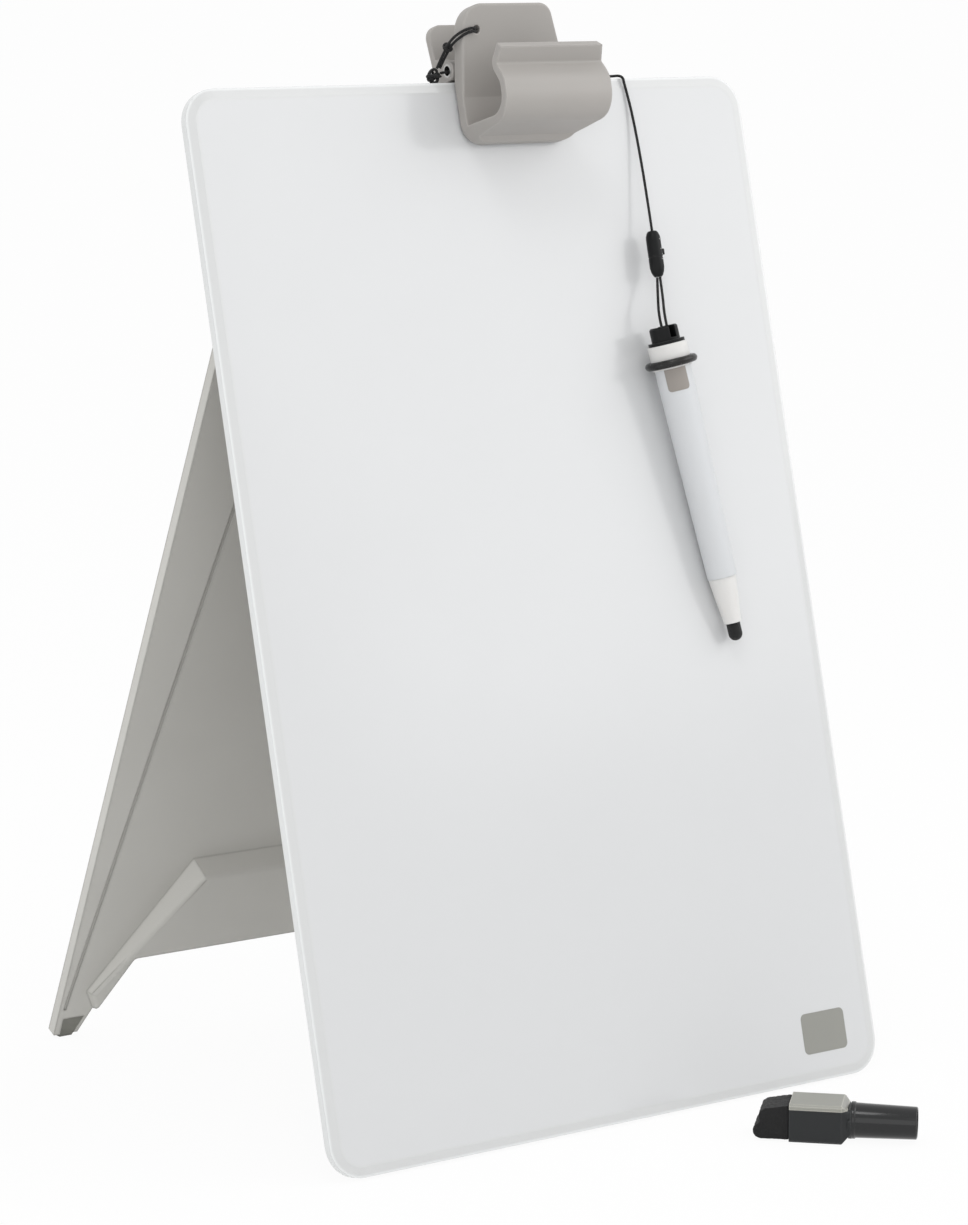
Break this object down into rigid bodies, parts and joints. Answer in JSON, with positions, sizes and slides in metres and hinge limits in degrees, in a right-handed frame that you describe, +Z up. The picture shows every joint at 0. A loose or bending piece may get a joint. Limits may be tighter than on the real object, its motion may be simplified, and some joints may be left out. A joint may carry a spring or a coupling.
{
  "type": "desk whiteboard easel",
  "caption": "Free-standing desk whiteboard easel: white glass panel on a folding moulded leg, with a sprung sliding clip that holds a pen trough and a tethered pen.",
  "frame": {"origin": "middle of the lower face of the rubber strip that the panel stands on, on the desk", "axes": "+Z up; +X along the panel, to the right seen from the front; the writing face looks towards -Y"},
  "size_m": [0.215, 0.2651, 0.3517],
  "materials": {
    "white_glass": "toughened glass, white lacquer behind, polished edge",
    "zinc_sheet": "zinc-plated sheet",
    "grey_abs": "moulded ABS, fine satin",
    "grey_abs_cap": "moulded ABS, satin",
    "grey_rubber": "moulded soft rubber",
    "dark_rubber": "smooth rubber",
    "steel_pin": "drawn steel",
    "black_cord": "braided polyester",
    "black_plastic": "moulded plastic",
    "white_plastic": "moulded polypropylene, satin",
    "felt_fibre": "fibre wadding",
    "black_felt": "pressed felt",
    "black_gloss": "moulded gloss plastic"
  },
  "bodies": {
    "board": {"glass_panel": "white_glass", "steel_sheet": "zinc_sheet", "back_frame": "grey_abs", "desk_strip": "grey_rubber", "hinge_pin_left": "steel_pin", "hinge_pin_right": "steel_pin"},
    "leg": {"rear_leg": "grey_abs", "leg_pad_left": "grey_rubber", "leg_pad_right": "grey_rubber"},
    "clip": {"clip_rear_jaw": "grey_abs", "clip_rear_pad": "dark_rubber", "clip_pivot_tube": "steel_pin", "clip_spring": "steel_pin", "lanyard_lead": "black_cord", "lanyard_knot": "black_cord"},
    "front_jaw": {"clip_front_jaw": "grey_abs", "clip_front_pad": "dark_rubber", "lanyard_tie": "black_cord", "lanyard_tie_knot": "black_cord", "lanyard_stop_knot": "black_cord"},
    "lanyard": {"lanyard_drop": "black_cord", "lanyard_connector": "black_plastic", "lanyard_loop": "black_cord"},
    "pen": {"pen_end_plug": "black_plastic", "pen_collar": "white_plastic", "pen_ring": "dark_rubber", "pen_barrel": "white_plastic", "pen_ink_reservoir": "felt_fibre", "pen_tip_holder": "white_plastic", "pen_nib": "black_felt"},
    "cap": {"cap_sleeve": "black_gloss", "cap_plate": "grey_abs_cap", "cap_magnet": "zinc_sheet", "cap_eraser": "black_felt"}
  },
  "joints": [
    {"name": "leg_fold", "type": "hinge", "parent": "board", "child": "leg", "pos_m": [0, 0.07138, 0.24977], "axis": [-1, 0, 0], "range_deg": [0, 37.9]},
    {"name": "clip_slide", "type": "slide", "parent": "board", "child": "clip", "axis": [1, 0, 0], "range_m": [-0.085, 0.034]},
    {"name": "clip_open", "type": "hinge", "parent": "clip", "child": "front_jaw", "pos_m": [0, 0.07908, 0.33028], "axis": [-1, 0, 0], "range_deg": [0, 20], "stiffness_Nm_per_rad": 0.15, "springref_deg": -34.38, "deforming": ["clip_spring"]},
    {"name": "lanyard_swing", "type": "hinge", "parent": "clip", "child": "lanyard", "pos_m": [0.0595, 0.07499, 0.32549], "axis": [0, -0.9688, 0.248], "range_deg": [-30, 12]},
    {"name": "pen_lift", "type": "hinge", "parent": "lanyard", "child": "pen", "pos_m": [0.05447, 0.04544, 0.24575], "axis": [-0.9884, -0.0376, -0.147], "range_deg": [0, 80]},
    {"name": "cap_lift", "type": "slide", "parent": "board", "child": "cap", "axis": [0, 0, 1], "range_m": [0, 0.06]}
  ]
}
